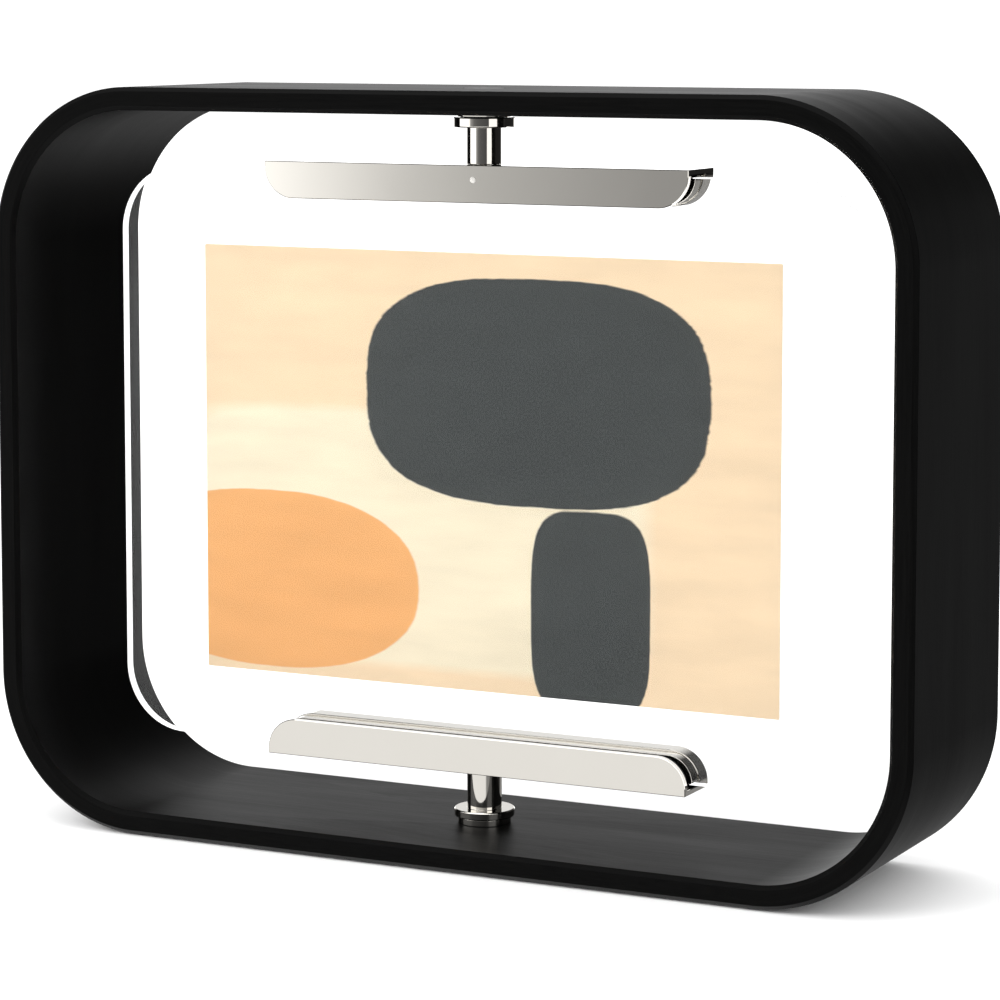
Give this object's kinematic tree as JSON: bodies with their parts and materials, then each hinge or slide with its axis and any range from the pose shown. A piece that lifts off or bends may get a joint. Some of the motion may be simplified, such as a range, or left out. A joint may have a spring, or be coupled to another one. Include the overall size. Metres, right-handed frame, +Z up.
{
  "type": "swivel photo frame",
  "caption": "Clear panes with a print between them, held in polished channels that turn on a vertical axis inside a black rounded-rectangle hoop.",
  "frame": {"origin": "middle of the footprint, on the surface the frame stands on", "axes": "+X to the right along the hoop's width, +Y to the rear along its depth, +Z up along the swivel axis"},
  "size_m": [0.278, 0.069, 0.2124],
  "materials": {
    "black_wood": "black-stained bent wood with a satin lacquer and a fine lengthwise grain",
    "polished_nickel": "polished warm nickel plate",
    "steel": "plain zinc-plated steel",
    "black_cap": "satin black plug, a shade lighter than the hoop",
    "white_plastic": "natural bearing plastic",
    "soft_pad": "soft black non-slip pad",
    "clear_pane": "clear, polished faces and edges",
    "print_paper": "matt art print in peach, cream, orange and charcoal"
  },
  "bodies": {
    "standing_frame": {"hoop": "black_wood", "base_pad_front_left": "soft_pad", "base_pad_front_right": "soft_pad", "base_pad_rear_left": "soft_pad", "base_pad_rear_right": "soft_pad", "top_cap": "black_cap", "bottom_cap": "black_cap", "top_bush": "white_plastic", "bottom_bush": "white_plastic", "top_bearing_ring": "polished_nickel", "bottom_bearing_ring": "polished_nickel", "top_wave_washer": "steel", "bottom_wave_washer": "steel"},
    "swivel": {"top_spindle": "polished_nickel", "bottom_spindle": "polished_nickel", "top_pivot_screw": "steel", "bottom_pivot_screw": "steel", "top_channel": "polished_nickel", "bottom_channel": "polished_nickel", "top_channel_screw": "steel", "bottom_channel_screw": "steel", "top_clamp_strip": "polished_nickel", "bottom_clamp_strip": "polished_nickel", "top_front_liner": "soft_pad", "bottom_front_liner": "soft_pad", "top_clamp_screw_left": "steel", "top_clamp_screw_right": "steel", "bottom_clamp_screw_left": "steel", "bottom_clamp_screw_right": "steel", "pane_stop_screw": "polished_nickel", "bottom_pad": "soft_pad"},
    "pane_pack": {"front_pane": "clear_pane", "rear_pane": "clear_pane", "print": "print_paper"}
  },
  "joints": [
    {"name": "pane_swivel", "type": "hinge", "parent": "standing_frame", "child": "swivel", "pos_m": [0, 0, 0.1064], "axis": [0, 0, 1], "continuous": true},
    {"name": "pane_slide", "type": "slide", "parent": "swivel", "child": "pane_pack", "axis": [1, 0, 0], "range_m": [-0.015, 0.015]}
  ]
}
